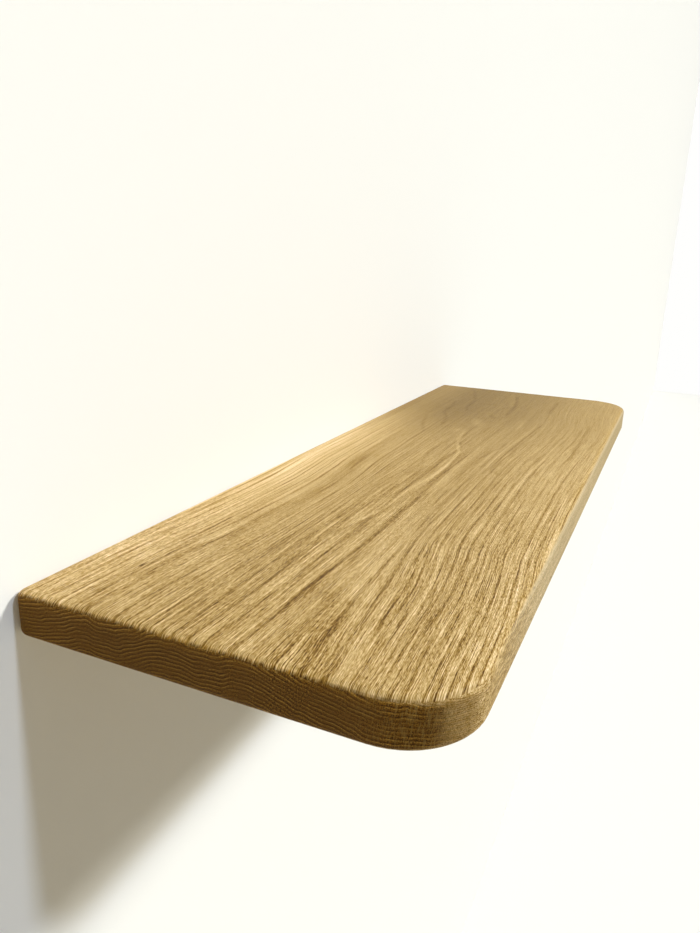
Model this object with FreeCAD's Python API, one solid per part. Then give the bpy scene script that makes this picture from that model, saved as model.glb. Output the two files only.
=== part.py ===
"""Oak floating wall shelf on two hidden rod supports.

Row frame, in millimetres: +X runs along the wall to the right, seen from the room, +Y points into
the wall and +Z is up. The origin is the middle of the shelf's back edge, on the wall's surface.
"""
import FreeCAD, Part
import math
import os

from FreeCAD import Vector

# ---------------------------------------------------------------- driving dimensions, in mm
# Board
LENGTH = 600.0
DEPTH = 200.0
THICKNESS = 22.0
FRONT_RADIUS = 35.0
BACK_RADIUS = 5.0
EDGE_ROUND = 4.0

# Supports
SUPPORT_SPACING = 400.0
ROD_DIAMETER = 12.0
ROD_LENGTH = 110.0
ROD_NOSE = 0.8
SPIGOT_DIAMETER = 8.0
RIVET_FLARE = 0.9
PLATE_LENGTH = 72.0
PLATE_HEIGHT = 13.0
PLATE_THICKNESS = 4.0
SCREW_SPACING = 52.0

# Screws
SCREW_DIAMETER = 4.5
SCREW_LENGTH = 50.0
SCREW_TIP = 4.0
HEAD_DIAMETER = 8.6
DRIVE_DEPTH = 2.2
DRIVE_SPAN = 4.6
DRIVE_ROOT = 1.6
DRIVE_WING = 1.0

# Plugs
PLUG_DIAMETER = 8.0
PLUG_LENGTH = 40.0
PLUG_COLLAR = 9.0
PLUG_BAND = 4.0
PLUG_NOSE = 3.0
NOSE_BEVEL = 1.2
ROW_TEETH = 2
TOOTH_CREST = 0.15
TOOTH_DEPTH = 0.8
SLOT_WIDTH = 1.2

# Clearances
BORE_CLEARANCE = 0.08
BORE_END_GAP = 5.0
RECESS_CLEARANCE = 0.3
RECESS_DEPTH_GAP = 0.3
FIT_GAP = 0.02
SCREW_HOLE_CLEARANCE = 0.25

# Angle, in degrees
COUNTERSINK_ANGLE = 90.0

# ---------------------------------------------------------------- worked-out values
RECESS_DEPTH = PLATE_THICKNESS + RECESS_DEPTH_GAP
BORE_RADIUS = ROD_DIAMETER / 2 + BORE_CLEARANCE
BORE_DEPTH = PLATE_THICKNESS + ROD_LENGTH + BORE_END_GAP
BAND_START = (PLUG_LENGTH - PLUG_BAND) / 2
BAND_END = (PLUG_LENGTH + PLUG_BAND) / 2
HEAD_SLOPE = math.tan(math.radians(COUNTERSINK_ANGLE / 2))
SIDES = {"left": -1, "right": 1}
PLACES = {"outer": 1, "inner": -1}

INTO_WALL = Vector(0, 1, 0)


# ---------------------------------------------------------------- helpers
def turned(profile, x):
    """Revolve (radius, y) points about the line along Y at x."""
    points = [Vector(x + radius, y, 0) for radius, y in profile]
    face = Part.Face(Part.makePolygon(points + points[:1]))
    return face.revolve(Vector(x, 0, 0), INTO_WALL, 360)


def obround(length, height, y_start, y_end, x):
    """A bar with round ends, lying along X, from y_start to y_end."""
    radius = height / 2
    half = length / 2 - radius
    left, right = x - half, x + half
    edges = [
        Part.LineSegment(Vector(left, y_start, -radius), Vector(right, y_start, -radius)),
        Part.Arc(Vector(right, y_start, -radius), Vector(right + radius, y_start, 0),
                 Vector(right, y_start, radius)),
        Part.LineSegment(Vector(right, y_start, radius), Vector(left, y_start, radius)),
        Part.Arc(Vector(left, y_start, radius), Vector(left - radius, y_start, 0),
                 Vector(left, y_start, -radius)),
    ]
    outline = Part.Wire([edge.toShape() for edge in edges])
    return Part.Face(outline).extrude(Vector(0, y_end - y_start, 0))


def screw_x(side, place):
    """Where a screw and its plug stand along the wall."""
    return SIDES[side] * (SUPPORT_SPACING / 2 + PLACES[place] * SCREW_SPACING / 2)


# ---------------------------------------------------------------- board
def board_blank():
    """The plank: wide front corners, small back ones, and rounded rims above and below."""
    blank = Part.makeBox(LENGTH, DEPTH, THICKNESS, Vector(-LENGTH / 2, -DEPTH, -THICKNESS / 2))
    for radius, y in ((FRONT_RADIUS, -DEPTH), (BACK_RADIUS, 0)):
        corners = [edge for edge in blank.Edges if edge.BoundBox.ZLength > THICKNESS / 2
                   and abs(edge.CenterOfMass.y - y) < THICKNESS / 2]
        blank = blank.makeFillet(radius, corners)
    rims = [edge for edge in blank.Edges if edge.BoundBox.ZLength < THICKNESS / 2]
    return blank.makeFillet(EDGE_ROUND, rims)


def rod_bore(x):
    """A flat-bottomed blind bore for one rod."""
    return turned([(0, 1), (BORE_RADIUS, 1), (BORE_RADIUS, -BORE_DEPTH), (0, -BORE_DEPTH)], x)


def plate_recess(x):
    """A routed recess that takes one back plate, so that the board closes on the wall."""
    return obround(PLATE_LENGTH + 2 * RECESS_CLEARANCE, PLATE_HEIGHT + 2 * RECESS_CLEARANCE,
                   1, -RECESS_DEPTH, x)


def shelf_board():
    board = board_blank()
    for side in SIDES.values():
        x = side * SUPPORT_SPACING / 2
        board = board.cut(rod_bore(x)).cut(plate_recess(x))
    return board


# ---------------------------------------------------------------- supports
def countersunk_hole(x):
    """The clearance hole and countersink for one screw, cut from the plate's room side."""
    hole_radius = SCREW_DIAMETER / 2 + SCREW_HOLE_CLEARANCE
    mouth_radius = HEAD_DIAMETER / 2 + FIT_GAP
    cone_floor = -PLATE_THICKNESS + (mouth_radius - hole_radius) / HEAD_SLOPE
    return turned([(0, -PLATE_THICKNESS), (mouth_radius, -PLATE_THICKNESS),
                   (hole_radius, cone_floor), (hole_radius, 1), (0, 1)], x)


def support_plate(side):
    """A back plate against the wall, with two countersunk holes and the rod's rivet hole."""
    x = SIDES[side] * SUPPORT_SPACING / 2
    plate = obround(PLATE_LENGTH, PLATE_HEIGHT, 0, -PLATE_THICKNESS, x)
    radius = SPIGOT_DIAMETER / 2 + FIT_GAP
    rivet_hole = turned([(0, -PLATE_THICKNESS - 1), (radius, -PLATE_THICKNESS - 1),
                         (radius, -RIVET_FLARE), (radius + RIVET_FLARE, 0),
                         (radius + RIVET_FLARE, 1), (0, 1)], x)
    plate = plate.cut(rivet_hole)
    for place in PLACES:
        plate = plate.cut(countersunk_hole(screw_x(side, place)))
    return plate


def support_rod(side):
    """A rod that seats on its plate and is riveted flush in the plate's back."""
    rod_radius = ROD_DIAMETER / 2
    spigot_radius = SPIGOT_DIAMETER / 2
    tip = -PLATE_THICKNESS - ROD_LENGTH
    profile = [(0, 0), (spigot_radius + RIVET_FLARE, 0), (spigot_radius, -RIVET_FLARE),
               (spigot_radius, -PLATE_THICKNESS), (rod_radius, -PLATE_THICKNESS),
               (rod_radius, tip + ROD_NOSE), (rod_radius - ROD_NOSE, tip), (0, tip)]
    return turned(profile, SIDES[side] * SUPPORT_SPACING / 2)


# ---------------------------------------------------------------- fasteners
def drive_cut(x):
    """The cross recess in a screw's head: two tapered wings."""
    face = -PLATE_THICKNESS
    floor = face + DRIVE_DEPTH
    wings = []
    for turn in (0, 90):
        half_span, half_root, half_wing = DRIVE_SPAN / 2, DRIVE_ROOT / 2, DRIVE_WING / 2
        outline = [Vector(-half_span, face, -half_wing), Vector(half_span, face, -half_wing),
                   Vector(half_root, floor, -half_wing), Vector(-half_root, floor, -half_wing)]
        wing = Part.Face(Part.makePolygon(outline + outline[:1])).extrude(Vector(0, 0, DRIVE_WING))
        wing.rotate(Vector(0, 0, 0), INTO_WALL, turn)
        wing.translate(Vector(x, 0, 0))
        wings.append(wing)
    return wings[0].fuse(wings[1])


def wall_screw(side, place):
    """A countersunk wood screw, flush in the plate, with its tip past the end of the plug."""
    x = screw_x(side, place)
    head_radius, shank_radius = HEAD_DIAMETER / 2, SCREW_DIAMETER / 2
    face = -PLATE_THICKNESS
    cone_floor = face + (head_radius - shank_radius) / HEAD_SLOPE
    end = face + SCREW_LENGTH
    profile = [(0, face), (head_radius, face), (shank_radius, cone_floor),
               (shank_radius, end - SCREW_TIP), (0, end)]
    return turned(profile, x).cut(drive_cut(x))


def flank_cut(x, flank, start, end, tail):
    """The cut that leaves a row of barbed teeth on one flank of a plug, then the tail's steps."""
    surface = x + flank * PLUG_DIAMETER / 2
    outside = surface + flank
    pitch = (end - start) / ROW_TEETH
    steps = []
    for tooth in range(ROW_TEETH):
        root = start + tooth * pitch
        steps += [(TOOTH_CREST, root), (TOOTH_DEPTH, root + pitch)]
    steps += tail
    outline = [Vector(outside, start, -PLUG_DIAMETER)]
    outline += [Vector(surface - flank * depth, y, -PLUG_DIAMETER) for depth, y in steps]
    outline += [Vector(outside, steps[-1][1], -PLUG_DIAMETER)]
    return Part.Face(Part.makePolygon(outline + outline[:1])).extrude(Vector(0, 0, 2 * PLUG_DIAMETER))


def wall_plug(side, place):
    """A split plug, flush with the wall's surface: a plain collar, then two halves, each with two
    rows of teeth, a plain band between the rows and a bevelled nose."""
    x = screw_x(side, place)
    outer, inner = PLUG_DIAMETER / 2, SCREW_DIAMETER / 2 + FIT_GAP
    sleeve = turned([(inner, 0), (outer, 0), (outer, PLUG_LENGTH), (inner, PLUG_LENGTH)], x)
    nose_start = PLUG_LENGTH - PLUG_NOSE
    nose = [(TOOTH_CREST, nose_start), (NOSE_BEVEL, PLUG_LENGTH)]
    cuts = [Part.makeBox(SLOT_WIDTH, PLUG_LENGTH, PLUG_DIAMETER + 2,
                         Vector(x - SLOT_WIDTH / 2, PLUG_COLLAR, -PLUG_DIAMETER / 2 - 1))]
    for flank in SIDES.values():
        cuts.append(flank_cut(x, flank, PLUG_COLLAR, BAND_START, []))
        cuts.append(flank_cut(x, flank, BAND_END, nose_start, nose))
    return sleeve.cut(cuts)


# ---------------------------------------------------------------- write
def write(name, shape):
    """Write one node, and stop if it isn't a sound solid."""
    if not shape.isValid() or not shape.Solids:
        raise ValueError(name + " is not a valid solid")
    solid = shape.Solids[0] if len(shape.Solids) == 1 else shape
    solid.exportStep("parts/" + name + ".step")
    print(name, "solids", len(shape.Solids), "volume", round(shape.Volume, 1))


os.makedirs("parts", exist_ok=True)
write("shelf_board", shelf_board())
for side in SIDES:
    write("support_plate_" + side, support_plate(side))
    write("support_rod_" + side, support_rod(side))
    for place in PLACES:
        write("wall_screw_" + side + "_" + place, wall_screw(side, place))
        write("wall_plug_" + side + "_" + place, wall_plug(side, place))
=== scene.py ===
"""Looks of the oak floating wall shelf.

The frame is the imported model: +X along the wall to the right, +Y into the wall and +Z up, in
metres, with the origin on the wall in the middle of the board's back edge. Sizes inside materials
and screws are in millimetres.
"""
import math

import bmesh
import bpy
from mathutils import Matrix, Vector


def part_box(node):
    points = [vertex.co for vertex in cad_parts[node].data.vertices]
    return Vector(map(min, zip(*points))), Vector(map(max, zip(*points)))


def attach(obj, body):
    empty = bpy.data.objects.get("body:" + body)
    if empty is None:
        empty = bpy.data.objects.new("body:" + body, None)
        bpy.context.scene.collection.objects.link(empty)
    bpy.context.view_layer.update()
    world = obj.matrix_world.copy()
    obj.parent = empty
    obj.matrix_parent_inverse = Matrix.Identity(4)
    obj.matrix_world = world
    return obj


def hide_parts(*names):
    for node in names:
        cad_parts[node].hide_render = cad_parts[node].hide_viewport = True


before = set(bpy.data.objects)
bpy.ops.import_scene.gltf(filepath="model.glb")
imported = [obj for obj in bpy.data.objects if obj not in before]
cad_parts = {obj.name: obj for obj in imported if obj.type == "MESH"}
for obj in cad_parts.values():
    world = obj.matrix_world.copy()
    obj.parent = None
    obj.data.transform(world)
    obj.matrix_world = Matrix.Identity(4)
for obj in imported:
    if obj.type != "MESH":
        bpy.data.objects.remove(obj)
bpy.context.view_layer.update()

MM = 0.001

# The board, in mm
LENGTH = 600.0
THICKNESS = 22.0

# ---------------------------------------------------------------- camera
SENSOR_WIDTH = 36.0
FOCAL_LENGTH = 28.22
CLIP_START, CLIP_END = 0.01, 60.0
CAMERA_PLACE = (-0.4998465, -0.2461383, 0.1544085)
CAMERA_RIGHT = (0.41724569, -0.90830299, 0.02986155)
CAMERA_UP = (0.24544842, 0.14426685, 0.9586147)


def make_camera():
    """The photograph's view: near the board's left end, above it, looking along the wall."""
    data = bpy.data.cameras.new("camera")
    data.sensor_width = SENSOR_WIDTH
    data.lens = FOCAL_LENGTH
    data.clip_start, data.clip_end = CLIP_START, CLIP_END
    camera = bpy.data.objects.new("camera", data)
    bpy.context.scene.collection.objects.link(camera)
    right, up = Vector(CAMERA_RIGHT), Vector(CAMERA_UP)
    turn = Matrix((right, up, right.cross(up))).transposed().to_4x4()
    camera.matrix_world = Matrix.Translation(CAMERA_PLACE) @ turn
    bpy.context.scene.camera = camera


# ---------------------------------------------------------------- shader maths
# The sockets of a mix node that blends colours
MIX_SHARE, MIX_FIRST, MIX_SECOND, MIX_RESULT = 0, 6, 7, 2


class Value:
    """An output of a shader node, with operators, so that node trees read as sums."""

    def __init__(self, graph, socket):
        self.graph, self.socket = graph, socket

    def __add__(self, other):
        return self.graph.maths("ADD", self, other)

    def __radd__(self, other):
        return self.graph.maths("ADD", other, self)

    def __sub__(self, other):
        return self.graph.maths("SUBTRACT", self, other)

    def __rsub__(self, other):
        return self.graph.maths("SUBTRACT", other, self)

    def __mul__(self, other):
        return self.graph.maths("MULTIPLY", self, other)

    def __truediv__(self, other):
        return self.graph.maths("DIVIDE", self, other)


class Graph:
    """The node tree of a material or of the world."""

    def __init__(self, owner, output):
        owner.use_nodes = True
        self.owner = owner
        self.tree = owner.node_tree
        self.tree.nodes.clear()
        self.surface = self.node(output).inputs["Surface"]

    def node(self, kind, **settings):
        made = self.tree.nodes.new(kind)
        for name, value in settings.items():
            setattr(made, name, value)
        return made

    def feed(self, socket, value):
        """Link a value to a socket, or set a plain number or colour on it."""
        if isinstance(value, Value):
            self.tree.links.new(value.socket, socket)
        else:
            socket.default_value = value

    def fed(self, kind, *values, **settings):
        """The first output of a new node whose first inputs take these values."""
        made = self.node(kind, **settings)
        for socket, value in zip(made.inputs, values):
            self.feed(socket, value)
        return Value(self, made.outputs[0])

    def maths(self, operation, *values):
        return self.fed("ShaderNodeMath", *values, operation=operation)

    def point(self, x, y, z):
        return self.fed("ShaderNodeCombineXYZ", x, y, z)

    def colour(self, red, green, blue):
        return self.fed("ShaderNodeCombineColor", red, green, blue)

    def output(self, kind, name):
        """A named output of a new input node."""
        return Value(self, self.node(kind).outputs[name])

    def coordinates(self, name):
        """The x, y and z of one of the texture coordinates."""
        parts = self.node("ShaderNodeSeparateXYZ")
        self.feed(parts.inputs[0], self.output("ShaderNodeTexCoord", name))
        return [Value(self, part) for part in parts.outputs]

    def position(self):
        """The object's own x, y and z, in millimetres."""
        return [part * (1 / MM) for part in self.coordinates("Object")]

    def noise(self, point, detail=2.0, roughness=0.5):
        made = self.node("ShaderNodeTexNoise")
        self.feed(made.inputs["Vector"], point)
        for name, value in (("Scale", 1.0), ("Detail", detail), ("Roughness", roughness)):
            made.inputs[name].default_value = value
        return Value(self, made.outputs[0])

    def blotches(self, size, detail=2.0, roughness=0.5):
        """Noise with blotches of this size along x, y and z, in millimetres."""
        places = [place / length for place, length in zip(self.position(), size)]
        return self.noise(self.point(*places), detail, roughness)

    def step(self, low, high, value):
        """0 at low, 1 at high and a smooth change between. With low above high it falls instead."""
        made = self.node("ShaderNodeMapRange", interpolation_type="SMOOTHSTEP")
        self.feed(made.inputs["Value"], value)
        made.inputs["From Min"].default_value = low
        made.inputs["From Max"].default_value = high
        return Value(self, made.outputs[0])

    def curve(self, value, points):
        """A smooth line through (input, output) points."""
        xs, ys = [p[0] for p in points], [p[1] for p in points]
        x_low, x_span = xs[0], xs[-1] - xs[0]
        y_low, y_span = min(ys), max(ys) - min(ys)
        made = self.node("ShaderNodeFloatCurve")
        line = made.mapping.curves[0]
        line.points[0].location = (0.0, (ys[0] - y_low) / y_span)
        line.points[1].location = (1.0, (ys[-1] - y_low) / y_span)
        for x, y in points[1:-1]:
            line.points.new((x - x_low) / x_span, (y - y_low) / y_span)
        made.mapping.update()
        self.feed(made.inputs["Value"], (value - x_low) / x_span)
        return Value(self, made.outputs[0]) * y_span + y_low

    def mix(self, share, first, second):
        """The colour from first, at share 0, to second, at share 1."""
        made = self.node("ShaderNodeMix", data_type="RGBA")
        self.feed(made.inputs[MIX_SHARE], share)
        self.feed(made.inputs[MIX_FIRST], first)
        self.feed(made.inputs[MIX_SECOND], second)
        return Value(self, made.outputs[MIX_RESULT])

    def scale(self, shade, factor):
        made = self.node("ShaderNodeVectorMath", operation="SCALE")
        self.feed(made.inputs[0], shade)
        self.feed(made.inputs["Scale"], factor)
        return Value(self, made.outputs[0])

    def bump(self, height, distance, strength):
        made = self.node("ShaderNodeBump")
        self.feed(made.inputs["Height"], height)
        made.inputs["Distance"].default_value = distance
        made.inputs["Strength"].default_value = strength
        return Value(self, made.outputs[0])

    def shader(self, kind, **inputs):
        made = self.node(kind)
        for name, value in inputs.items():
            self.feed(made.inputs[name.replace("_", " ")], value)
        return Value(self, made.outputs[0])

    def finish(self, shader):
        self.feed(self.surface, shader)
        return self.owner

    def principled(self, **inputs):
        return self.finish(self.shader("ShaderNodeBsdfPrincipled", **inputs))


def material_graph(name):
    return Graph(bpy.data.materials.new(name), "ShaderNodeOutputMaterial")


def colour(red, green, blue):
    return (red, green, blue, 1.0)


# ---------------------------------------------------------------- oak: the figure
# Places in the board, in mm: along is the distance from the near end, depth the distance from the
# wall and height the distance above the top face. A lane is a depth that follows the grain.

# Rings are counted from the wall along the top face, halfway between the board's ends.
RING_WIDTH = 1.75
RING_COUNT = [(0, 0), (7, 1), (15, 2), (21.5, 3), (28, 4), (34, 5), (39, 5.45), (46, 5.58),
              (52, 5.7), (56.5, 6), (62, 7), (68, 8), (73.5, 9), (79, 10), (84, 10.5),
              (87.5, 10.62), (91, 10.5), (95, 10.32), (99.5, 10.5), (104.5, 10.75), (110, 11),
              (115, 11.25), (121.5, 11.4), (124, 11.35), (128, 11), (132.5, 10.5), (138, 10),
              (142, 9.5), (148, 8.75), (155, 8), (165, 7), (172, 6), (179, 5), (187.5, 4),
              (200, 2)]
# How far the grain swings to the front, in mm, by the place along the board, and how much of the
# swing each depth takes: once for the back half and once for the front half.
BACK_SWING = [(0, 0), (50, 0.3), (75, 1.2), (100, 3.0), (125, 4.2), (150, 4.8), (175, 5.3),
              (200, 5.6), (215, 5.0), (240, 3.4), (265, 1.6), (290, 1.2), (315, 1.2), (340, 0.6),
              (600, 0)]
BACK_SHARE = [(0, 0), (10, 0.6), (20, 1), (62, 1), (68, 0.6), (74, 0), (82, -0.5), (88, -0.3),
              (96, 0), (200, 0)]
FRONT_SWING = [(0, 17), (10, 16.5), (30, 14.5), (50, 13), (75, 11), (100, 7.5), (125, 3.5),
               (150, 0), (200, -2), (300, -2), (340, 0), (370, 1.5), (400, 3.5), (430, 4.5),
               (470, 3), (520, -1), (600, -2)]
FRONT_SHARE = [(0, 0), (114, 0), (122, 0.12), (132, 0.44), (141, 0.75), (148, 0.94), (154, 1.0),
               (160, 0.95), (168, 0.80), (180, 0.72), (200, 0.65)]
# How many rings the lines on the near end rise by on top of that, where they bend.
END_BEND = [(0, 0), (30, -0.2), (40, 0.6), (46, -0.1), (64, -0.3), (73, 0.7), (83, 0.1),
            (104, -0.2), (113, 0.8), (122, 0.1), (133, -1.6), (147, -2.9), (160, -3.0),
            (180, -1.4), (200, 0)]
# The top face's figure goes this far down, so that it holds over the rounded rim.
SKIN = 1.6
# Between these lanes the fine grain lies closer together, by this share.
CLOSE_START, CLOSE_WIDTH, CLOSE_SHARE = 114.0, 23.0, 0.65
# The slope of the rays at the wall, and how it changes with each mm of depth.
RAY_SLOPE, RAY_TURN = 0.25, -0.0021
# The length and width of a ray in mm, and how many rings it crosses.
RAY_LENGTH, RAY_WIDTH, RAY_RINGS = 9.0, 0.50, 2.6
# The stretch over which the figure goes over into that of the far end.
FAR_START, FAR_FULL = 290.0, 480.0

# Streaks drawn out along the grain: the length and the width in mm, then the noise's detail,
# roughness and shift. The shift keeps two kinds of streak from falling in with each other.
WANDER = (180.0, 30.0, 1.0, 0.5, 0.0)
RIPPLE = (60.0, 4.0, 2.0, 0.5, 0.0)
PATCH = (60.0, 4.0, 2.0, 0.5, 3.3)
FRINGE = (30.0, 0.65, 2.0, 0.7, 9.1)
STREAK = (190.0, 2.8, 1.0, 0.5, 0.0)
STRAND = (38.0, 0.41, 1.0, 0.8, 3.1)
DASH = (13.0, 0.36, 1.0, 0.6, 0.0)
FIBRE = (2.6, 0.38, 1.0, 0.8, 7.3)
# How far rings wander and ripple along the board and waver on its ends, in rings.
WANDER_RINGS, RIPPLE_RINGS, WAVER_RINGS = 0.5, 0.3, 1.1
# The noise between which a dash goes over into a pore, and the same for a ray.
PORE_LOW, PORE_HIGH = 0.56, 0.72
RAY_LOW, RAY_HIGH = 0.48, 0.66

# How light the wood is through one ring: dark at each line of pores, pale on both sides of it.
RING_TONE = [(0, -0.40), (0.05, -0.26), (0.10, 0.0), (0.17, 0.15), (0.28, 0.12), (0.40, 0.06),
             (0.46, -0.12), (0.5, -0.24), (0.54, -0.12), (0.60, 0.04), (0.75, 0.07), (0.84, 0.13),
             (0.91, -0.02), (0.96, -0.26), (1, -0.40)]
# Painted light over the wood's own tone: palest along the wall, where the lit wall's bounce and
# reflection are painted in, and lighter at the front edge as a painted highlight.
LIGHT_AND_TONE_BY_DEPTH = [(0, 1.40), (12, 1.38), (25, 1.24), (40, 1.08), (60, 0.98), (90, 0.96),
                 (130, 0.95), (150, 0.99), (165, 1.03), (183, 1.09), (200, 1.2)]
# Painted shade, partly the wood's own darkening: darkest towards the far end, most of all at the
# back.
FAR_SHADE = [(0, 0.54), (50, 0.44), (90, 0.31), (120, 0.22), (140, 0.13), (200, 0.07)]
# How much of the surface shows end grain as it turns from the front or the top to the end.
END_SHARE = [(0, 0), (0.12, 0.20), (0.28, 0.42), (0.72, 0.56), (0.92, 0.95), (1, 1)]
# Red, green and blue of the long grain: the powers of the fibre's tone, of its dark side and of
# the tone of its place, then the strength. Dark wood is redder and pale wood is yellower.
CHANNELS = [(1.0, 0.0, 1.0, 0.418), (1.2, 0.14, 1.15, 0.278), (1.95, 0.85, 1.8, 0.099)]
DARKEST = 0.2
# A pale colour painted in as the highlight along the front rim.
RIM_HIGHLIGHT_PAINT = (0.56, 0.45, 0.27, 1.0)
# A pale colour painted in as light falling on the front face from the front.
FRONT_LIGHT_PAINT = (0.54, 0.50, 0.38, 1.0)
# The colours of the end grain
END_WOOD = (0.108, 0.049, 0.0052, 1.0)
END_CREST = (0.248, 0.133, 0.021, 1.0)
END_ROW = (0.036, 0.014, 0.002, 1.0)
END_PORE = (0.045, 0.020, 0.004, 1.0)
END_RAY = (0.27, 0.17, 0.050, 1.0)

# Single marks in the figure: the middle line as (along, depth), then the half width and the
# strength. Each fades in and out over its last stretch.
MARK_FADE = 14.0
MARKS = [
    # A pale line along the middle of the board, and the dark lines beside it
    ([(128, 90), (150, 95), (165, 98.5), (180, 100), (200, 100.5), (220, 101.5), (240, 103.5),
      (260, 105), (290, 104.5), (315, 103), (330, 99), (350, 93)], 2.2, 0.34),
    ([(142, 96), (150, 98), (165, 101), (180, 103.5), (200, 105.5), (220, 106.5),
      (265, 109), (290, 107), (325, 105)], 2.8, -0.22),
    ([(118, 91), (133, 93), (150, 97), (160, 100)], 6.0, -0.24),
    ([(185, 92), (200, 95), (215, 97), (240, 99), (265, 100), (290, 98), (318, 97)], 2.6, -0.20),
    ([(332, 101), (345, 96), (360, 93)], 2.2, -0.26),
    # Soft lines and patches of the arches towards the far end
    ([(352, 94), (380, 91.5), (412, 88)], 2.4, -0.14),
    ([(365, 57), (378, 54), (400, 46), (440, 38)], 3.0, -0.16),
    ([(395, 63), (430, 58), (460, 47.5), (490, 45.5), (520, 40)], 3.4, -0.16),
    ([(465, 68), (490, 61), (520, 59), (550, 52), (590, 40)], 3.6, -0.15),
    ([(464, 104), (490, 103), (520, 101), (575, 91)], 3.4, -0.20),
    ([(492, 138), (520, 137), (570, 135)], 4.0, -0.18),
    ([(446, 98), (468, 90)], 4.5, -0.16),
    ([(345, 92), (360, 90.5), (372, 89), (398, 85)], 2.4, 0.26),
    ([(378, 77), (390, 80), (403, 80)], 7.0, 0.18),
    ([(410, 92), (430, 87), (446, 82)], 8.0, 0.24),
    # The straight lines in the front half
    ([(278, 135), (305, 135), (330, 135), (354, 136), (380, 137), (413, 139), (452, 141)],
     1.7, -0.30),
    ([(283, 131.5), (306, 131), (328, 131.7), (352, 132.3), (378, 134), (410, 135.5),
      (447, 138)], 1.6, 0.20),
    ([(330, 180), (370, 180), (400, 180), (430, 180), (470, 181)], 1.9, -0.20),
    ([(305, 122), (316, 123), (334, 124), (349, 127), (372, 128)], 1.9, -0.18),
    # Two pale patches, a broad dark one at the near end and the short dark check near the wall
    ([(410, 126), (440, 124), (462, 122)], 5.0, 0.14),
    ([(510, 98), (550, 92), (590, 83)], 4.0, 0.16),
    ([(-12, 135), (30, 131), (75, 124)], 20.0, -0.17),
    ([(43, 30.7), (47, 30.9), (51, 31.1)], 1.5, -1.1),
]


class Wood:
    """Where a point lies in the board, and the rings, fibres, pores and rays that it has."""

    def __init__(self, g):
        self.g = g
        x, y, z = g.position()
        self.along, self.depth, self.height = x + LENGTH / 2, y * -1.0, z - THICKNESS / 2
        facing = [g.maths("ABSOLUTE", part) for part in g.coordinates("Normal")]
        self.endwards, self.sideways, self.upwards = facing
        self.far = g.step(FAR_START, FAR_FULL, self.along)

        # Growth rings, which follow the grain's swings
        swing = g.curve(self.along, BACK_SWING) * g.curve(self.depth, BACK_SHARE)
        swing = swing + g.curve(self.along, FRONT_SWING) * g.curve(self.depth, FRONT_SHARE)
        self.lane = self.depth - swing
        self.inner = g.maths("MINIMUM", self.height + SKIN, 0.0)
        wander = (self.streaks(WANDER, self.lane, self.height) - 0.5) * WANDER_RINGS
        ripple = (self.streaks(RIPPLE, self.lane, self.height) - 0.5) * RIPPLE_RINGS
        self.count = g.curve(self.lane, RING_COUNT) - self.inner / RING_WIDTH + wander + ripple

        # Fibres and pores along the grain
        past = g.maths("MAXIMUM", self.lane - CLOSE_START, 0.0)
        thin = g.maths("MINIMUM", past, CLOSE_WIDTH) * CLOSE_SHARE + self.lane
        self.fibre = self.streaks(FIBRE, thin, self.inner) - 0.5
        self.strand = self.streaks(STRAND, thin, self.inner) - 0.5
        self.streak = self.streaks(STREAK, self.lane, self.inner) - 0.5
        dashes = self.streaks(DASH, thin, self.inner)
        self.pore = g.step(PORE_LOW, PORE_HIGH, dashes)
        self.glint = g.step(PORE_LOW, PORE_HIGH, 1.0 - dashes)

        # Rays: thin sheets that run from the pith outwards
        around = self.depth + self.height * (self.depth * RAY_TURN + RAY_SLOPE)
        sheets = g.noise(g.point(self.along / RAY_LENGTH, around / RAY_WIDTH,
                                 self.count / RAY_RINGS), 1.0)
        self.ray = g.step(RAY_LOW, RAY_HIGH, sheets)

    def streaks(self, kind, across, down):
        """Noise drawn out along the grain, at these places across it and down into it."""
        length, width, detail, roughness, shift = kind
        place = self.g.point(self.along / length, across / width, down / width + shift)
        return self.g.noise(place, detail, roughness)


def single_marks(g, wood):
    """How much lighter or darker the single marks make the wood."""
    marked = 0.0
    for points, half_width, strength in MARKS:
        start, end = points[0][0], points[-1][0]
        soft = min(MARK_FADE, (end - start) / 2)
        off = g.maths("ABSOLUTE", wood.depth - g.curve(wood.along, points))
        mark = g.step(half_width, 0.0, off) * g.step(start, start + soft, wood.along)
        marked = mark * g.step(end, end - soft, wood.along) * strength + marked
    return marked


def fibre_tone(g, wood):
    """How light each fibre is, apart from the tone of its place. Lines and hairs are strongest
    near the camera's end and calm at the far end."""
    along, depth = wood.along, wood.depth
    calm = 1.0 - wood.far * (0.75 - g.step(120.0, 150.0, depth) * 0.15)
    patchy = g.step(0.28, 0.72, wood.streaks(PATCH, wood.lane, 0.0))
    rings = g.curve(g.maths("FRACT", wood.count), RING_TONE)
    lines = rings * calm * (patchy * 1.1 + 0.32)
    vigour = 1.0 - g.step(120.0, 400.0, along) * 0.40 - g.step(380.0, 480.0, along) * 0.20

    # The fine hairs fade along the board, first along the wall and past the rim of the end
    sharp = (1.0 - g.step(70.0, 280.0, along) * 0.50) * (g.step(10.0, 150.0, depth) * 0.1 + 0.95)
    sharp = sharp * (1.0 - g.step(280.0, 460.0, along) * 0.50)
    back_half = g.step(110.0, 20.0, depth)
    sharp = sharp * (1.0 - g.step(60.0, 200.0, along) * back_half * 0.65)
    round_the_end = g.step(0.1, 0.5, wood.endwards) * g.step(0.7, 0.3, wood.upwards)
    sharp = sharp * (1.0 - round_the_end * 0.6)
    hairs = wood.fibre * 2.3 + wood.strand * 2.3 + wood.glint * 0.16 - wood.pore * 0.40
    broad = (lines + wood.streak * 0.8 + wood.strand * 0.4) * vigour
    return broad + hairs * sharp + single_marks(g, wood) + 1.0


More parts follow.
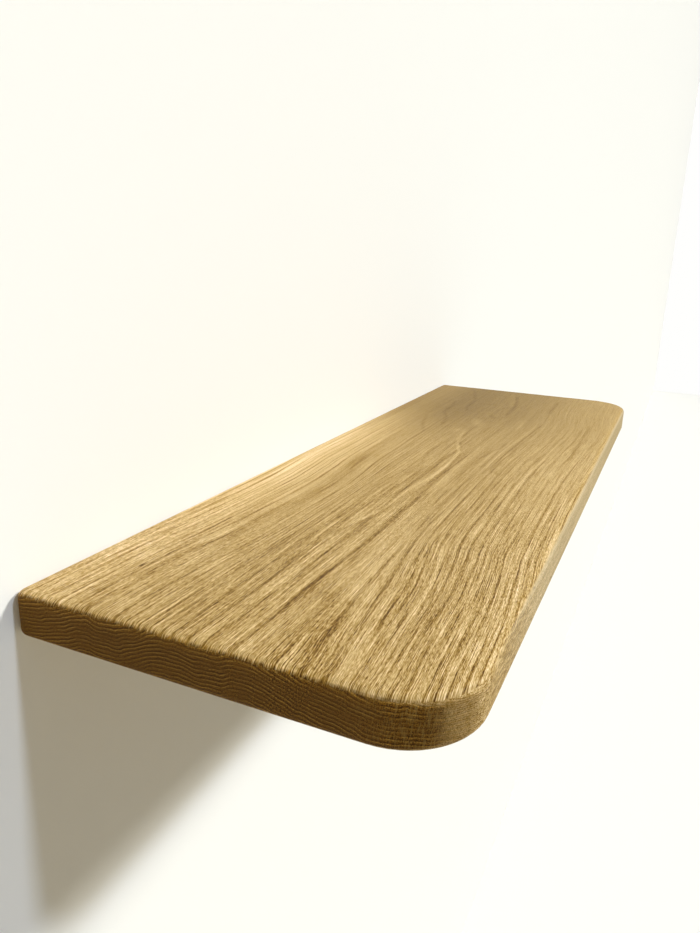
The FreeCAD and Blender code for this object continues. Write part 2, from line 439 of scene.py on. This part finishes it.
def place_tone_and_light(g, wood):
    """The tone of each part of the board, with painted light: palest by the wall, where the lit
    wall's glow is painted in, and darker at both ends, at the far end as painted shade.
    """
    along, depth = wood.along, wood.depth
    plain = g.curve(depth, LIGHT_AND_TONE_BY_DEPTH) * (1.0 - wood.far * g.curve(depth, FAR_SHADE))
    far_back = g.step(390.0, 500.0, along) * g.step(170.0, 110.0, depth)
    plain = plain * (1.0 - far_back * 0.06)
    # Painted glow of the lit wall along the back, stronger further along the board and a little
    # darker at the near end.
    by_wall = g.step(60.0, 15.0, depth)
    plain = plain * (1.0 + by_wall * (g.step(20.0, 250.0, along) * 0.20 - 0.06))
    plain = plain * (g.step(40.0, 180.0, along) * 0.06 + 0.95)
    near_middle = g.step(70.0, 110.0, depth) * g.step(175.0, 150.0, depth)
    near_middle = near_middle * g.step(160.0, 60.0, along)
    return plain * (1.0 + near_middle * 0.07)


def face_colour(g, level, plain):
    """The colour of the long grain from the tones of the fibre and of its place, the place's tone
    carrying painted light and shade.
    """
    dark_side = g.maths("MINIMUM", level, 1.0)
    channels = []
    for fibre_power, dark_power, place_power, strength in CHANNELS:
        channel = g.maths("POWER", level, fibre_power) * g.maths("POWER", dark_side, dark_power)
        channels.append(channel * g.maths("POWER", plain, place_power) * strength)
    return g.colour(*channels)


def long_grain(g, wood, rim, front_rim_highlight, level):
    """The top, the underside and the front, with a painted highlight along the front rim, a front
    face painted paler as if lit from the front, and a painted highlight on the rim by the near end.
    """
    face = face_colour(g, level, place_tone_and_light(g, wood))
    # Painted highlight: the front rim mixed towards a pale cream.
    face = g.mix(front_rim_highlight * 0.55, face, RIM_HIGHLIGHT_PAINT)
    # Painted light: the front face made paler, as if lit from the front.
    front = g.step(0.6, 0.98, wood.sideways) * g.step(0.6, 0.2, wood.upwards)
    front = front * g.step(20.0, 160.0, wood.along)
    face = g.mix(front * 0.32, face, FRONT_LIGHT_PAINT)
    # Painted highlight: the rim turning to the near end made lighter.
    end_rim_highlight = rim * g.step(0.1, 0.3, wood.endwards) * g.step(172.0, 140.0, wood.depth)
    return g.scale(face, 1.0 + end_rim_highlight * 0.30)


def end_grain(g, wood):
    """The ends: a dark row of pores and a pale crest in each ring, crossed by rays."""
    depth, height = wood.depth, wood.height
    waver = (g.noise(g.point(depth / 6.0, height / 9.0, 5.2), 1.0) - 0.5) * WAVER_RINGS
    phase = g.maths("FRACT", wood.count + g.curve(depth, END_BEND) + waver)
    row = g.step(0.0, 0.07, phase) * g.step(0.34, 0.14, phase)
    crest = g.step(0.36, 0.52, phase) * g.step(0.70, 0.54, phase)
    clear = g.step(0.30, 0.66, g.noise(g.point(depth / 11.0, height / 3.2, 7.7), 1.0))
    end = g.mix(crest * (clear * 0.8 + 0.2), END_WOOD, END_CREST)
    end = g.mix(row * (clear * 0.6 + 0.4), end, END_ROW)
    corner = g.step(150.0, 190.0, depth)
    end = g.scale(end, 1.0 + corner * 0.18 + wood.fibre * 5.0 + wood.strand * 2.4)
    end = g.mix(wood.pore * 0.35, end, END_PORE)
    end = g.mix(wood.ray * (corner * 0.38 + 0.06), end, END_RAY)
    # Painted highlight: the end made lighter towards its top rim, where it rounds over to the
    # light.
    top_of_end_highlight = g.step(-7.0, -2.5, height)
    by_wall = g.step(60.0, 5.0, depth)
    return g.scale(end, 1.0 + top_of_end_highlight * 0.25 + by_wall * 0.2)


def end_share(g, wood):
    """How much of the surface shows end grain, with a ragged border along the top's rim."""
    ragged = (wood.streaks(FRINGE, wood.lane, 0.0) - 0.5) * 1.4
    fringe = (ragged + wood.fibre * 0.5 + 0.06) * g.step(168.0, 140.0, wood.depth)
    ends = wood.endwards - wood.upwards * 0.578 - 0.12
    ends = (ends + fringe * g.step(0.1, 0.5, wood.upwards)) / (0.80 - wood.upwards * 0.50)
    return g.curve(g.step(0.0, 1.0, ends), END_SHARE)


def make_oak():
    """Flat-sawn oak as a solid: growth rings, pores and rays, cut by whatever surface shows, with
    painted light and shade across the top and on the rims.
    """
    g = material_graph("oak_flat_sawn")
    wood = Wood(g)
    level = g.maths("MAXIMUM", fibre_tone(g, wood), DARKEST)
    rim = g.step(0.02, 0.2, 1.0 - wood.upwards) * g.step(0.1, 0.4, wood.upwards)
    # The front rim's highlight: painted into the colour, and given a higher specular level.
    front_rim_highlight = rim * g.step(0.85, 0.99, wood.sideways + wood.upwards * 0.3)
    front_rim_highlight = front_rim_highlight * g.step(20.0, 120.0, wood.along)
    ends = end_share(g, wood)
    return g.principled(
        Base_Color=g.mix(ends, long_grain(g, wood, rim, front_rim_highlight, level), end_grain(g, wood)),
        Roughness=0.50 + wood.pore * 0.18 + ends * 0.14,
        Specular_IOR_Level=0.14 - ends * 0.06 + front_rim_highlight * 0.3,
        Normal=g.bump(level, 0.07 * MM, 0.5),
    )


# ---------------------------------------------------------------- metal and plastic
def make_plate_steel():
    """Zinc plated steel: a cool, faintly mottled sheen with fine scuffs along the plate."""
    g = material_graph("plate_zinc")
    mottle = g.blotches((3.0, 3.0, 3.0), 3.0, 0.6)
    scuff = g.blotches((9.0, 0.35, 0.22))
    return g.principled(
        Base_Color=g.mix(mottle, colour(0.50, 0.51, 0.53), colour(0.66, 0.67, 0.68)),
        Metallic=1.0,
        Roughness=0.26 + mottle * 0.16 + scuff * 0.10,
        Normal=g.bump(scuff * 0.6 + mottle * 0.4, 0.03 * MM, 0.6),
    )


def make_rod_steel():
    """Drawn bright steel: fine lines along the rod."""
    g = material_graph("rod_drawn")
    lines = g.blotches((0.25, 40.0, 0.25), 3.0, 0.6)
    stain = g.blotches((8.0, 14.0, 8.0))
    return g.principled(
        Base_Color=g.mix(stain, colour(0.56, 0.56, 0.57), colour(0.70, 0.70, 0.70)),
        Metallic=1.0,
        Roughness=0.20 + lines * 0.18 + stain * 0.08,
        Normal=g.bump(lines, 0.03 * MM, 0.6),
    )


def make_screw_steel():
    """Yellow passivated zinc: pale gold that shifts to straw and a little pink."""
    g = material_graph("screw_zinc")
    shift = g.blotches((2.4, 5.0, 2.4))
    grain = g.blotches((0.3, 0.3, 0.3))
    tint = g.mix(g.step(0.35, 0.65, shift), colour(0.74, 0.60, 0.30), colour(0.72, 0.63, 0.44))
    return g.principled(
        Base_Color=g.mix(g.step(0.58, 0.75, shift) * 0.5, tint, colour(0.66, 0.48, 0.38)),
        Metallic=1.0,
        Roughness=0.24 + grain * 0.16,
        Normal=g.bump(grain, 0.02 * MM, 0.5),
    )


def make_plug_nylon():
    """Plain grey moulded nylon."""
    g = material_graph("plug_moulded")
    flow = g.blotches((2.5, 9.0, 2.5))
    grain = g.blotches((0.35, 0.35, 0.35))
    return g.principled(
        Base_Color=g.mix(flow, colour(0.25, 0.255, 0.262), colour(0.31, 0.315, 0.32)),
        Roughness=0.48 + grain * 0.14,
        Specular_IOR_Level=0.45,
        Normal=g.bump(grain, 0.03 * MM, 0.5),
    )


def dress_nodes():
    """Give each carried-over CAD node its finish."""
    finishes = {"shelf_board": make_oak(), "support_plate": make_plate_steel(),
                "support_rod": make_rod_steel(), "wall_plug": make_plug_nylon()}
    for name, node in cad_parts.items():
        for start, finish in finishes.items():
            if name.startswith(start):
                node.data.materials.clear()
                node.data.materials.append(finish)


# ---------------------------------------------------------------- threaded screws
# Millimetres from the screw's own axis, and along it from the wall's surface.
ROUND = 40
SCREW_FACE = -4.0
THREAD_START, THREAD_END, SCREW_END = 16.0, 45.6, 46.0
THREAD_GROWTH = 2.0
TIP_LENGTH, TIP_SHAPE = 6.5, 0.75
CORE_RADIUS = 1.45
CREST_RADIUS = 2.245
PITCH = 2.2
# The head and the neck as (radius, place), from the rim of the face to the start of the thread.
HEAD_PROFILE = [(4.15, SCREW_FACE), (4.27, -3.97), (2.20, -1.90), (1.80, -1.3), (1.62, -0.6),
                (1.62, 14.0), (CORE_RADIUS, 15.0), (CORE_RADIUS, THREAD_START)]
# The cross recess: the reach and half the width of its wings at the face and at the floor.
DRIVE_MOUTH, DRIVE_ROOT = (2.3, 0.5), (0.85, 0.38)
DRIVE_FLOOR, DRIVE_POINT = -1.8, -1.5
# Where along one pitch the thread's foot, crest and foot come, and the share of its height there.
THREAD_FORM = [(0.0, 0.0), (0.52, 0.0), (0.66, 0.35), (0.80, 1.0), (0.88, 1.0)]
# Points nearer than this are one point, and edges shorter than this are dissolved.
SAME_POINT, NO_EDGE = 0.002, 0.001
SHARP_ANGLE = 32.0


def taper(y, end, length):
    """1 along the screw, falling to 0 at the end over this length."""
    return min(1.0, max(0.0, (end - y) / length) ** TIP_SHAPE)


def screw_radius(y, height):
    """The radius at one place, with this share of the thread's height. The thread grows from the
    neck, and both it and the core run out to a slender point."""
    core = CORE_RADIUS * taper(y, SCREW_END, TIP_LENGTH)
    crest = max(core, CREST_RADIUS * taper(y, THREAD_END, TIP_LENGTH))
    grown = 1.0 - taper(y, THREAD_START + THREAD_GROWTH, THREAD_GROWTH)
    return core + (crest - core) * height * grown


def turned_point(bm, radius, y, i):
    """The point number i of ROUND about the screw's axis."""
    angle = 2 * math.pi * i / ROUND
    return bm.verts.new((radius * math.cos(angle), y, radius * math.sin(angle)))


def cross(bm, size, y):
    """The outline of the cross recess at one place."""
    reach, wing = size
    quarter = [(reach, -wing), (reach, wing), (wing, wing)]
    outline = []
    for _ in range(4):
        outline += [bm.verts.new((u, y, v)) for u, v in quarter]
        quarter = [(-v, u) for u, v in quarter]
    return outline


def join_rings(bm, rings):
    """Close the rows of faces between rings of points, each ring starting at the same side."""
    for first, second in zip(rings, rings[1:]):
        for i in range(len(first)):
            j = (i + 1) % len(first)
            bm.faces.new((first[i], first[j], second[j], second[i]))


def add_head(bm):
    """The head, its cross recess and the smooth neck."""
    neck = [[turned_point(bm, radius, y, i) for i in range(ROUND)] for radius, y in HEAD_PROFILE]
    join_rings(bm, neck)
    mouth, floor = cross(bm, DRIVE_MOUTH, SCREW_FACE), cross(bm, DRIVE_ROOT, DRIVE_FLOOR)
    join_rings(bm, [mouth, floor])
    point = bm.verts.new((0.0, DRIVE_POINT, 0.0))
    for i in range(len(floor)):
        bm.faces.new((floor[i], floor[(i + 1) % len(floor)], point))
    edges = [bm.edges.get((loop[i - 1], loop[i]))
             for loop in (neck[0], mouth) for i in range(len(loop))]
    bmesh.ops.triangle_fill(bm, edges=edges, use_beauty=True)


def add_thread(bm):
    """The thread: each row of points climbs one pitch in a turn."""
    steps = len(THREAD_FORM)
    turns = math.ceil((SCREW_END - THREAD_START) / PITCH) + 1
    rows = []
    for row in range(turns * steps + 1):
        place, height = THREAD_FORM[row % steps]
        start = THREAD_START + (row // steps - 1 + place) * PITCH
        points = []
        for i in range(ROUND):
            y = min(SCREW_END, max(THREAD_START, start + PITCH * i / ROUND))
            points.append(turned_point(bm, screw_radius(y, height), y, i))
        rows.append(points)
    for row in range(len(rows) - 1):
        here, above = rows[row], rows[row + 1]
        for i in range(ROUND - 1):
            bm.faces.new((here[i], here[i + 1], above[i + 1], above[i]))
        if row + steps + 1 < len(rows):
            bm.faces.new((here[-1], rows[row + steps][0], rows[row + steps + 1][0], above[-1]))


def make_screw(name, x, finish):
    """A countersunk wood screw with a cross recess, a smooth neck and a thread up to its point."""
    bm = bmesh.new()
    add_head(bm)
    add_thread(bm)
    bmesh.ops.remove_doubles(bm, verts=bm.verts, dist=SAME_POINT)
    bmesh.ops.dissolve_degenerate(bm, edges=bm.edges, dist=NO_EDGE)
    bmesh.ops.recalc_face_normals(bm, faces=bm.faces)
    for face in bm.faces:
        face.smooth = True
    bmesh.ops.scale(bm, vec=(MM, MM, MM), verts=bm.verts)
    bmesh.ops.translate(bm, vec=(x * MM, 0.0, 0.0), verts=bm.verts)
    mesh = bpy.data.meshes.new(name)
    bm.to_mesh(mesh)
    bm.free()
    mesh.set_sharp_from_angle(angle=math.radians(SHARP_ANGLE))
    mesh.materials.append(finish)
    screw = bpy.data.objects.new(name, mesh)
    bpy.context.scene.collection.objects.link(screw)
    return screw


def make_screws():
    """A threaded screw in place of each plain one."""
    finish = make_screw_steel()
    for name in sorted(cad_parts):
        if name.startswith("wall_screw"):
            low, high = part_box(name)
            screw = make_screw(name + "_threaded", (low.x + high.x) / 2 / MM, finish)
            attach(screw, "wall_supports")
            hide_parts(name)


# ---------------------------------------------------------------- stage and light
# The wall's surface stands a hair behind the board's back edge, and light passes it over less than
# this distance. The floor lies at the foot of the wall. All in metres.
WALL_PLACE, WALL_FOOT, WALL_TOP, STAGE_REACH = 0.0003, -1.2, 4.0, 8.0
TOUCHING = 1.0 * MM
FLOOR_LIFT = 0.55
WORLD_STRENGTH = 0.275
# The name, direction, strength, tint and apparent size in degrees of each lamp.
SUNS = [("key", (-0.80, 1.0, -0.90), 2.77, (1.0, 0.99, 0.90), 9.0),
        ("fill", (-0.03, 1.0, -0.90), 1.18, (0.72, 0.83, 1.0), 4.0)]


def make_plane(name, corners, material):
    mesh = bpy.data.meshes.new(name)
    mesh.from_pydata(corners, [], [range(len(corners))])
    mesh.materials.append(material)
    obj = bpy.data.objects.new(name, mesh)
    bpy.context.scene.collection.objects.link(obj)


def make_wall():
    """A white wall that shows only from the room's side. It lets light through to what touches
    it, so that the back edge shows from behind."""
    g = material_graph("stage_wall")
    paint = g.shader("ShaderNodeBsdfDiffuse", Color=colour(0.88, 0.88, 0.875))
    clear = g.shader("ShaderNodeBsdfTransparent")
    behind = g.output("ShaderNodeNewGeometry", "Backfacing")
    touching = g.maths("LESS_THAN", g.output("ShaderNodeLightPath", "Ray Length"), TOUCHING)
    seen_through = g.maths("MAXIMUM", behind, touching)
    material = g.finish(g.fed("ShaderNodeMixShader", seen_through, paint, clear))
    ends = [(-STAGE_REACH, WALL_FOOT), (STAGE_REACH, WALL_FOOT), (STAGE_REACH, WALL_TOP),
            (-STAGE_REACH, WALL_TOP)]
    make_plane("stage_wall", [(x, WALL_PLACE, z) for x, z in ends], material)


def make_floor():
    """A pale floor a metre below, which looks lighter to the camera than it lights the shelf."""
    g = material_graph("stage_floor")
    paint = g.shader("ShaderNodeBsdfDiffuse", Color=colour(0.46, 0.42, 0.33))
    lift = g.output("ShaderNodeLightPath", "Is Camera Ray") * FLOOR_LIFT
    glow = g.shader("ShaderNodeEmission", Color=colour(0.80, 0.88, 1.0), Strength=lift)
    material = g.finish(g.fed("ShaderNodeAddShader", paint, glow))
    corners = [(-1, -1), (1, -1), (1, 1), (-1, 1)]
    make_plane("stage_floor", [(x * STAGE_REACH, y * STAGE_REACH, WALL_FOOT) for x, y in corners],
               material)


def make_sun(name, travel, strength, tint, angle):
    data = bpy.data.lights.new(name, "SUN")
    data.energy = strength
    data.color = tint
    data.angle = math.radians(angle)
    lamp = bpy.data.objects.new(name, data)
    lamp.matrix_world = Vector(travel).to_track_quat("-Z", "Y").to_matrix().to_4x4()
    bpy.context.scene.collection.objects.link(lamp)


def make_world():
    """White to the camera and through glass, and a plain warm glow as light."""
    g = Graph(bpy.data.worlds.new("surroundings"), "ShaderNodeOutputWorld")
    seen = g.maths("MAXIMUM", g.output("ShaderNodeLightPath", "Is Camera Ray"),
                   g.output("ShaderNodeLightPath", "Is Transmission Ray"))
    glow = g.shader("ShaderNodeBackground", Color=colour(1.0, 0.91, 0.74),
                    Strength=WORLD_STRENGTH)
    shown = g.shader("ShaderNodeBackground", Color=colour(1.0, 1.0, 0.985))
    bpy.context.scene.world = g.finish(g.fed("ShaderNodeMixShader", seen, glow, shown))


make_camera()
dress_nodes()
make_screws()
make_wall()
make_floor()
make_world()
for sun in SUNS:
    make_sun(*sun)
bpy.context.scene.view_settings.view_transform = "Standard"
